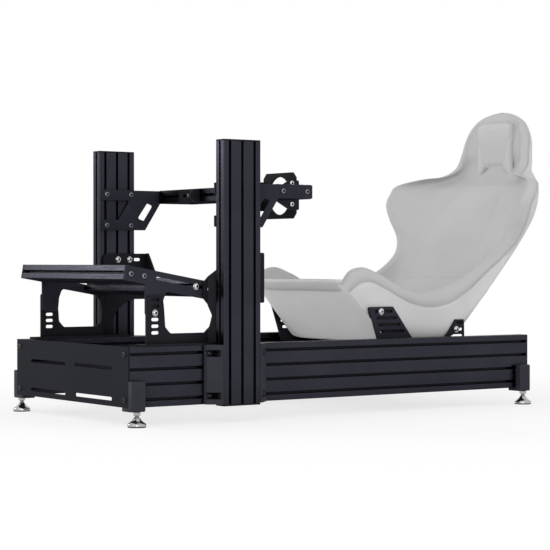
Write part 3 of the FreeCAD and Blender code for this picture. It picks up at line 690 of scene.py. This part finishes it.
def smooth_through(knots, rows, places):
    """Smooth curve through rows at their knots, read at the given places."""
    knots, rows = np.asarray(knots, float), np.asarray(rows, float)
    gaps = np.diff(knots)
    slopes = np.diff(rows, axis=0) / gaps[:, None]
    lean = np.empty_like(rows)
    lean[0], lean[-1] = slopes[0], slopes[-1]
    before, after = gaps[:-1, None], gaps[1:, None]
    lean[1:-1] = (after * slopes[:-1] + before * slopes[1:]) / (before + after)
    spot = np.clip(np.searchsorted(knots, places, side="right") - 1, 0, len(gaps) - 1)
    step = gaps[spot][:, None]
    t = ((np.asarray(places) - knots[spot]) / gaps[spot])[:, None]
    return ((2 * t ** 3 - 3 * t ** 2 + 1) * rows[spot] + (t ** 3 - 2 * t ** 2 + t) * step * lean[spot]
            + (3 * t ** 2 - 2 * t ** 3) * rows[spot + 1] + (t ** 3 - t ** 2) * step * lean[spot + 1])


def chord_knots(points, power=1.0):
    steps = np.linalg.norm(np.diff(points, axis=0), axis=1) ** power
    return np.concatenate([[0.0], np.cumsum(np.maximum(steps, 1e-6))])


def curve_through(points, count):
    """Evenly read smooth curve through a list of points."""
    points = np.asarray(points, float)
    knots = chord_knots(points, 0.5)
    return smooth_through(knots, points, np.linspace(0, knots[-1], count))


KNOTS = chord_knots((STATIONS[:, BACK_Y:RIM_Y] + STATIONS[:, RIM_Y:FLOOR_SHARE]) / 2)


def stations_between(count, first=0, last=-1):
    return smooth_through(KNOTS, STATIONS, np.linspace(KNOTS[first], KNOTS[last], count))


def station_frame(row):
    """Foot of a section, its direction from back to rim and its depth, in drawing millimetres."""
    low = np.array([0.0, SEAT_FRONT + row[BACK_Y], SEAT_LOW + row[BACK_Z]])
    high = np.array([0.0, SEAT_FRONT + row[RIM_Y], SEAT_LOW + row[RIM_Z]])
    deep = np.linalg.norm(high - low)
    return low, (high - low) / deep, deep


def sit_half(row):
    """Half width of the part that is sat on or leant against."""
    wall, share, least = 14, 0.80, 4.0
    return max(least, min(row[BACK_WIDE], row[SIDE_WIDE] - wall / SEAT_HALF) * share * SEAT_HALF)


def metres(points):
    moved = np.array(points, float)
    moved[:, 1] -= FRONT_FACE
    return moved / 1000


SHELL_ROWS = 170
OUTER_STEPS, ROLL_STEPS, INNER_STEPS = 26, 18, 30
LIP, CREASE = 7.0, 5.0


def shell_half(row):
    """Half outline of the shell: its back and side, the rolled rim, then the hollow to the middle."""
    low, up, deep = station_frame(row)
    back_w, side_w, edge_w = row[BACK_WIDE] * SEAT_HALF, row[SIDE_WIDE] * SEAT_HALF, row[RIM_WIDE] * SEAT_HALF
    tall = min(row[RIM_TALL], deep * 0.5)
    band = min(row[RIM_BAND], edge_w * 0.6)
    floor = min(row[FLOOR_SHARE] * deep + row[PADDING], deep - 1.5)
    lip = min(LIP, (deep - floor) * 0.6)
    sit_w = min(sit_half(row), edge_w - band - 6) if edge_w > 60 else edge_w * 0.3
    crease = min(CREASE, edge_w * 0.1)
    inset = crease * 0.4
    outer = curve_through([
        (0, 0), (back_w * 0.55, 0), (back_w * 0.86, deep * 0.012), (back_w, deep * 0.05),
        (side_w - inset, deep * 0.17 + 3), ((side_w + edge_w) / 2 - inset, deep * 0.52),
        (edge_w - inset, deep - tall - 3)], OUTER_STEPS)
    roll = curve_through([
        (edge_w - crease, deep - tall), (edge_w - crease * 0.35, deep - tall * 0.86),
        (edge_w, deep - tall * 0.5), (edge_w - band * 0.14, deep - tall * 0.16), (edge_w - band * 0.45, deep),
        (edge_w - band * 0.75, deep - lip * 0.2), (edge_w - band, deep - lip)], ROLL_STEPS)
    wall = edge_w - band
    # towards the headrest the padding ends, and the wall of the hollow gets steeper
    head = min(1.0, max(0.0, 1 - row[PADDING] / 12))
    hollow, slope = deep - floor, wall - sit_w
    inner = curve_through([
        (wall, deep - lip), (wall - slope * (0.30 - 0.12 * head), floor + hollow * (0.46 - 0.1 * head)),
        (sit_w + slope * (0.28 + 0.3 * head), floor + hollow * 0.12),
        (sit_w * 0.86, floor - lip * 0.07), (sit_w * 0.5, floor - lip * 0.3), (0, floor - lip * 0.4)],
        INNER_STEPS)
    outline = np.vstack([outer, roll, inner[1:]])
    outline[0, 0] = outline[-1, 0] = 0.0
    outline[:, 0] = np.maximum(outline[:, 0], 0.0)
    return low + outline[:, :1] * np.array([1.0, 0, 0]) + outline[:, 1:] * up


def build_shell():
    """One skin: back and sides up to the crease in a paler copy of the cover with light painted in, padded
    cover over the rim and in the hollow, and a front end in a much lighter copy, also painted light.
    """
    halves = [shell_half(row) for row in stations_between(SHELL_ROWS)]
    count = len(halves[0])
    loop = 2 * count - 2
    points = np.vstack([np.vstack([half, half[1:-1][::-1] * MIRROR]) for half in halves])
    faces = skin(len(halves), loop)
    side, cover, front = 0, 1, 2
    band = [side if min(i, loop - 1 - i) < OUTER_STEPS - 1 else cover for i in range(loop)]
    finish = band * (len(halves) - 1)

    def across(k):
        return k if k in (0, count - 1) else loop - k

    for level, turn, end in ((0, 1, front), (len(halves) - 1, -1, cover)):
        base = level * loop
        for i in range(count - 1):
            quad = list(dict.fromkeys([base + i, base + across(i), base + across(i + 1), base + i + 1]))
            if len(quad) > 2:
                faces.append(tuple(quad[::turn]))
                finish.append(end)
    item = new_piece("upholstered_shell", metres(points), faces,
                     [side_cover_painted_light, shell_cover, front_panel_painted_light])
    item.data.polygons.foreach_set("material_index", finish)
    split_edges(item, "panel_edges", 50)
    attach(item, "root")
    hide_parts("seat_shell")


# side outlines of the brackets (Y, Z), which the dark sheets of painted shade fill
BRACKETS = {"front": [(898, 173), (1037, 173), (938, 298), (854, 298), (884, 209)],
            "rear": [(1118, 173), (1213, 173), (1212, 256), (1183, 256)]}
SHADE_SHEET_ROWS, SHADE_SHEET_STEPS, SHADE_SHEET_LAST_STATION = 360, 90, 8
SHADE_SHEET_FIRST_STEP, SHADE_SHEET_LEAST_X, SHADE_SHEET_LIFT = 6, 190, 1.3


def inside(outline, y, z):
    """Whether a point of the side view lies within an outline."""
    crossed = False
    for (y1, z1), (y2, z2) in zip(outline, outline[1:] + outline[:1]):
        if (z1 > z) != (z2 > z) and y < y1 + (y2 - y1) * (z - z1) / (z2 - z1):
            crossed = not crossed
    return crossed


def build_shade_sheets():
    """Thin dark sheets of painted shade on the shell's sides, behind the slots of its brackets."""
    steps = np.linspace(SHADE_SHEET_FIRST_STEP, OUTER_STEPS - 1, SHADE_SHEET_STEPS)
    grid = []
    for row in stations_between(SHADE_SHEET_ROWS, 0, SHADE_SHEET_LAST_STATION):
        side = shell_half(row)[:OUTER_STEPS]
        grid.append(np.column_stack([np.interp(steps, np.arange(OUTER_STEPS), side[:, k]) for k in range(3)]))
    grid = np.array(grid)
    middle = (grid[:-1, :-1] + grid[1:, :-1] + grid[1:, 1:] + grid[:-1, 1:]) / 4
    for end, outline in BRACKETS.items():
        kept = [(i, k) for i in range(middle.shape[0]) for k in range(middle.shape[1])
                if middle[i, k, 0] > SHADE_SHEET_LEAST_X and inside(outline, middle[i, k, 1], middle[i, k, 2])]
        numbers, points, faces = {}, [], []
        for i, k in kept:
            quad = []
            for spot in ((i, k), (i + 1, k), (i + 1, k + 1), (i, k + 1)):
                if spot not in numbers:
                    numbers[spot] = len(points)
                    points.append(grid[spot] + np.array([SHADE_SHEET_LIFT, 0, 0]))
                quad.append(numbers[spot])
            faces.append(tuple(quad))
        for side, hand in HANDS:
            sided = metres(np.array(points) * np.array([side, 1, 1]))
            item = new_piece(hand + "_bracket_painted_shade_" + end, sided, faces, [cap_plastic])
            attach(item, "root")


def swept(path, ups, sizes, sides):
    """Closed tube along a path; ups lean its height, sizes are half heights and half widths."""
    ahead = np.gradient(path, axis=0)
    ahead /= np.linalg.norm(ahead, axis=1)[:, None]
    out = np.cross(ahead, ups)
    out /= np.linalg.norm(out, axis=1)[:, None]
    lift = np.cross(out, ahead)
    angles = 2 * np.pi * np.arange(sides) / sides
    fullness = 0.85
    ring_x = np.sign(np.cos(angles)) * np.abs(np.cos(angles)) ** fullness
    ring_z = np.sign(np.sin(angles)) * np.abs(np.sin(angles)) ** fullness
    points = []
    for spot, beside, above, (tall, wide) in zip(path, out, lift, sizes):
        points.append(spot + np.outer(ring_x, beside * wide) + np.outer(ring_z, above * tall))
    faces = skin(len(path), sides)
    faces.append(lid(0, sides)[::-1])
    faces.append(lid(len(path) - 1, sides))
    return np.vstack(points), faces


ROLL_HALF = [(0, 783, 362.6), (90, 783, 362.6), (150, 783, 362.6), (182, 784, 363), (200, 790, 364),
             (209, 804, 366), (211, 824, 368)]
ROLL_TALL, ROLL_WIDE, ROLL_ROWS, ROLL_SIDES = 20.0, 7.0, 121, 24
ROLL_LEAN = (0.0, -0.62, 0.78)
# the roll thins towards its ends: where it would end, over what length, and to what share
ROLL_END, ROLL_TAPER, ROLL_LEAST = 230, 30, 0.35


def build_front_roll():
    """Roll across the front lip, its ends lost in the thigh bolsters."""
    path = curve_through([(-x, y, z) for x, y, z in ROLL_HALF[:0:-1]] + ROLL_HALF, ROLL_ROWS)
    ease = np.clip((ROLL_END - np.abs(path[:, 0])) / ROLL_TAPER, ROLL_LEAST, 1.0)
    sizes = np.column_stack([ROLL_TALL * ease, ROLL_WIDE * ease])
    ups = np.tile(np.array(ROLL_LEAN), (len(path), 1))
    points, faces = swept(path, ups, sizes, ROLL_SIDES)
    item = new_piece("front_lip_roll", metres(points), faces, [lip_cover_painted_light])
    fix_normals(item)
    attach(item, "root")


PAD_ROWS, PAD_ACROSS = 46, 32
PAD_DIP, PAD_DEPTH = 5, 22


def pad_mesh(name, first, last, rise):
    """Closed pad let into the hollow: it swells over the floor and dips under it along its border."""
    rows = stations_between(PAD_ROWS, first, last)
    top, under = [], []
    for i, row in enumerate(rows):
        low, up, deep = station_frame(row)
        v = 2 * i / (len(rows) - 1) - 1
        floor = min(row[FLOOR_SHARE] * deep + row[PADDING], deep - 6)
        half = sit_half(row) * 0.98
        for k in range(PAD_ACROSS + 1):
            u = 2 * k / PAD_ACROSS - 1
            swell = (1 - abs(u) ** 4) * (1 - abs(v) ** 6)
            base = low + up * floor + np.array([u * half, 0, 0])
            top.append(base + up * (swell * (rise + PAD_DIP) - PAD_DIP))
            under.append(base - up * PAD_DEPTH)
    width = PAD_ACROSS + 1
    shift = len(rows) * width
    faces = []
    for i in range(len(rows) - 1):
        for k in range(PAD_ACROSS):
            a = i * width + k
            d = a + width
            faces.append((a, a + 1, d + 1, d))
            faces.append((shift + d, shift + d + 1, shift + a + 1, shift + a))
    edge = list(range(width)) + [i * width + PAD_ACROSS for i in range(1, len(rows))]
    edge += [(len(rows) - 1) * width + k for k in range(PAD_ACROSS - 1, -1, -1)]
    edge += [i * width for i in range(len(rows) - 2, 0, -1)]
    for i, a in enumerate(edge):
        b = edge[(i + 1) % len(edge)]
        faces.append((b, a, shift + a, shift + b))
    item = new_piece(name, metres(np.vstack([top, under])), faces, [pad_cover])
    fix_normals(item)
    return item


# front outline of the head pad (X, Z): flat top, straight sides down to two tips, an arch between them
HEAD_HALF = [(0, 879), (40, 879), (64, 878), (75, 872), (79, 856), (83, 800), (87, 745), (88, 713), (81, 704),
             (63, 716), (45, 731), (37, 735), (18, 736), (0, 736)]
# its rings from the back to the middle of the face: how far in from the outline, and Y
HEAD_RINGS = [(0, 1598), (0, 1570), (1.0, 1562), (4.0, 1556.5), (9.0, 1554), (20, 1553), (40, 1552.5),
              (60, 1552)]
HEAD_POINTS, HEAD_MIDDLE, HEAD_FOOT, HEAD_SPAN = 120, 800.0, 735, 140
# with height the face comes forward, and the back starts further in and runs back
FACE_LEAN, BACK_START, BACK_LEAN = 3, 30, 32


def head_mesh(name):
    """Head pad: upright face, rounded edges, sides that run back into the hollow."""
    right = curve_through(HEAD_HALF, HEAD_POINTS // 2 + 1)
    outline = np.vstack([right, right[1:-1][::-1] * MIRROR[:2]])
    inward = np.array([0.0, HEAD_MIDDLE]) - outline
    length = np.linalg.norm(inward, axis=1)[:, None]
    rings = []
    for inset, face in HEAD_RINGS:
        moved = outline + inward / length * np.minimum(inset, length * 0.9)
        lean = np.clip((moved[:, 1] - HEAD_FOOT) / HEAD_SPAN, -0.2, 1.1)
        if rings:
            depth = face + FACE_LEAN - FACE_LEAN * lean
        else:
            depth = face - BACK_START + BACK_LEAN * lean
        rings.append(np.column_stack([moved[:, 0], depth, moved[:, 1]]))
    count = len(outline)
    faces = skin(len(rings), count) + [lid(0, count), lid(len(rings) - 1, count)]
    item = new_piece(name, metres(np.vstack(rings)), faces, [head_cover_painted_light])
    fix_normals(item)
    return item


def even_out(item, voxel):
    """Gives a pad an even mesh for its swelling and seams."""
    even = item.modifiers.new("even_mesh", "REMESH")
    even.mode = "VOXEL"
    even.voxel_size = voxel
    even.use_smooth_shade = True
    bpy.context.view_layer.objects.active = item
    bpy.ops.object.modifier_apply(modifier=even.name)


def points_of(mesh):
    points = np.empty(len(mesh.vertices) * 3)
    mesh.vertices.foreach_get("co", points)
    return points.reshape(-1, 3)


def put_points(mesh, points):
    mesh.vertices.foreach_set("co", points.ravel())
    mesh.polygons.foreach_set("use_smooth", [True] * len(mesh.polygons))
    mesh.update()


def eased(value):
    value = np.clip(value, 0.0, 1.0)
    return value * value * (3 - 2 * value)


def sew_head(item):
    """Middle panel of the head pad leans back between its two wings; seams run along its sides."""
    panel_depth, seam_depth, seam_wide = 12, 2.5, 3.5
    points = points_of(item.data)
    wide, high = np.abs(points[:, 0]) * 1000, points[:, 2] * 1000
    # only the front moves; the panel widens with height, and it and its seams fade out near the top
    front = eased((1592 - (points[:, 1] * 1000 + FRONT_FACE)) / 24)
    side = np.interp(high, [735, 835], [37, 79])
    panel = eased((side - wide + 5) / 10)
    down = eased((842 - high) / 100)
    seam = np.exp(-((wide - side) / seam_wide) ** 2) * eased((862 - high) / 30)
    points[:, 1] += front * (panel_depth * panel * down + seam_depth * seam) / 1000
    put_points(item.data, points)


CLOTH_FRAMES = 20


def inflate(item, cap):
    """Swells a pad with a short cloth run; no point moves further than the cap."""
    mesh = item.data
    before = points_of(mesh)
    cloth = item.modifiers.new("swelling", "CLOTH")
    cloth.settings.use_pressure = True
    cloth.settings.uniform_pressure_force = 4.0
    cloth.settings.effector_weights.gravity = 0.0
    cloth.settings.quality = 4
    cloth.point_cache.frame_end = CLOTH_FRAMES
    for number in range(1, CLOTH_FRAMES + 1):
        scene.frame_set(number)
    graph = bpy.context.evaluated_depsgraph_get()
    shown = item.evaluated_get(graph)
    after = points_of(shown.to_mesh())
    shown.to_mesh_clear()
    item.modifiers.remove(cloth)
    scene.frame_set(1)
    move = after - before
    move -= move.mean(0)
    length = np.maximum(np.linalg.norm(move, axis=1), 1e-9)
    move *= np.minimum(1.0, cap / length)[:, None]
    put_points(mesh, before + move)


def build_pads():
    """Pads with the solid they stand for, how far they may swell and the size of their voxels."""
    pads = [(pad_mesh("sitting_pad", 0, 6, 4.0), "seat_base_pad", 0.004, 0.006),
            (pad_mesh("back_rest_pad", 8, 14, 3.0), "seat_back_pad", 0.003, 0.006),
            (head_mesh("head_rest_pad"), "seat_head_pad", 0.003, 0.004)]
    for item, node, cap, voxel in pads:
        even_out(item, voxel)
        inflate(item, cap)
        if node == "seat_head_pad":
            sew_head(item)
        finer = item.modifiers.new("smooth_skin", "SUBSURF")
        finer.levels = finer.render_levels = 1
        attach(item, "root")
        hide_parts(node)


build_shell()
build_shade_sheets()
build_front_roll()
build_pads()


# stage: pale floor that keeps the shadow, white all round, soft lamps
# distances over which the floor fades to white, and the share of white that it starts from
FLOOR_SIZE, FLOOR_FADE, FLOOR_LEAST = 14.0, (0.9, 2.0), 0.70
# strength of the room's light from the sides and from above, and the heights between which it changes
ROOM_SIDES, ROOM_ABOVE, ROOM_HEIGHTS = 1.20, 0.76, (0.05, 0.9)


def seen_share(tree):
    """One for what the camera, a mirror or glass sees, nothing for light that falls on the part."""
    light = tree.nodes.new("ShaderNodeLightPath").outputs
    seen = math_node(tree, "ADD", light["Is Camera Ray"], light["Is Glossy Ray"], True)
    return math_node(tree, "ADD", seen, light["Is Transmission Ray"], True)


def show_mix(tree, share, first, second, out):
    mix = tree.nodes.new("ShaderNodeMixShader")
    tree.links.new(share, mix.inputs["Fac"])
    tree.links.new(first.outputs[0], mix.inputs[1])
    tree.links.new(second.outputs[0], mix.inputs[2])
    tree.links.new(mix.outputs[0], out.inputs["Surface"])


def build_floor():
    corners = [(x * FLOOR_SIZE, y * FLOOR_SIZE, 0) for x, y in ((-1, -1), (1, -1), (1, 1), (-1, 1))]
    item = bpy.data.objects.new("pale_floor", bpy.data.meshes.new("pale_floor"))
    item.data.from_pydata(corners, [], [(0, 1, 2, 3)])
    scene.collection.objects.link(item)
    made = bpy.data.materials.new("pale_floor")
    made.use_nodes = True
    tree = made.node_tree
    tree.nodes.clear()
    out = tree.nodes.new("ShaderNodeOutputMaterial")
    matt = tree.nodes.new("ShaderNodeBsdfDiffuse")
    matt.inputs["Color"].default_value = (0.90, 0.90, 0.90, 1)
    white = tree.nodes.new("ShaderNodeEmission")
    away = vector_node(tree, "LENGTH", surface(tree)["Position"])["Value"]
    far = range_node(tree, away, *FLOOR_FADE, FLOOR_LEAST, 1.0)
    share = math_node(tree, "MULTIPLY", far, seen_share(tree))
    show_mix(tree, share, matt, white, out)
    item.data.materials.append(made)


def build_room():
    """World that lights the part more from the sides than from above, and looks plain white."""
    world = bpy.data.worlds.new("white_room")
    scene.world = world
    world.use_nodes = True
    tree = world.node_tree
    tree.nodes.clear()
    out = tree.nodes.new("ShaderNodeOutputWorld")
    seen = seen_share(tree)
    room = tree.nodes.new("ShaderNodeBackground")
    room.inputs["Color"].default_value = (1, 1, 1, 1)
    way = tree.nodes.new("ShaderNodeTexCoord")
    height = split_node(tree, way.outputs["Generated"])["Z"]
    strength = range_node(tree, height, *ROOM_HEIGHTS, ROOM_SIDES, ROOM_ABOVE)
    tree.links.new(strength, room.inputs["Strength"])
    seen_room = tree.nodes.new("ShaderNodeBackground")
    seen_room.inputs["Color"].default_value = (1, 1, 1, 1)
    seen_room.inputs["Strength"].default_value = 1.0
    show_mix(tree, seen, room, seen_room, out)


def aim(item, way):
    """Turns a lamp or camera to look along a direction."""
    item.rotation_euler = way.to_track_quat("-Z", "Y").to_euler()


def lamp(name, place, target, wide, power):
    data = bpy.data.lights.new(name, "AREA")
    data.shape = "DISK"
    data.size = wide
    data.energy = power
    item = bpy.data.objects.new(name, data)
    scene.collection.objects.link(item)
    item.location = place
    aim(item, Vector(target) - Vector(place))


build_floor()
build_room()
# name, place, what it looks at, width in metres, power in watts
lamp("key_softbox", (1.2, -3.4, 2.0), (0, 0, 0.4), 2.4, 18)
lamp("side_softbox", (3.8, 0.8, 2.2), (0, 0.2, 0.4), 2.6, 8)
lamp("fill_softbox", (4.2, -3.0, 1.5), (0, 0.3, 0.45), 3.0, 34)
lamp("front_softbox", (-2.8, -2.5, 1.37), (0, -0.6, 0.40), 0.8, 20)

# camera fitted to the photo, with its focal length in pixels
CAMERA_TURN, CAMERA_PITCH = math.radians(54.65), math.radians(-0.44)
FOCAL_PIXELS, PHOTO_PIXELS, SENSOR = 1839.0, 550, 36.0
camera = bpy.data.objects.new("camera", bpy.data.cameras.new("camera"))
scene.collection.objects.link(camera)
scene.camera = camera
camera.location = at(4445, -2462, 435)
aim(camera, Vector((-math.sin(CAMERA_TURN) * math.cos(CAMERA_PITCH),
                    math.cos(CAMERA_TURN) * math.cos(CAMERA_PITCH), math.sin(CAMERA_PITCH))))
camera.data.sensor_width = SENSOR
camera.data.lens = FOCAL_PIXELS / PHOTO_PIXELS * SENSOR
camera.data.clip_end = 100

scene.view_settings.view_transform = "Standard"
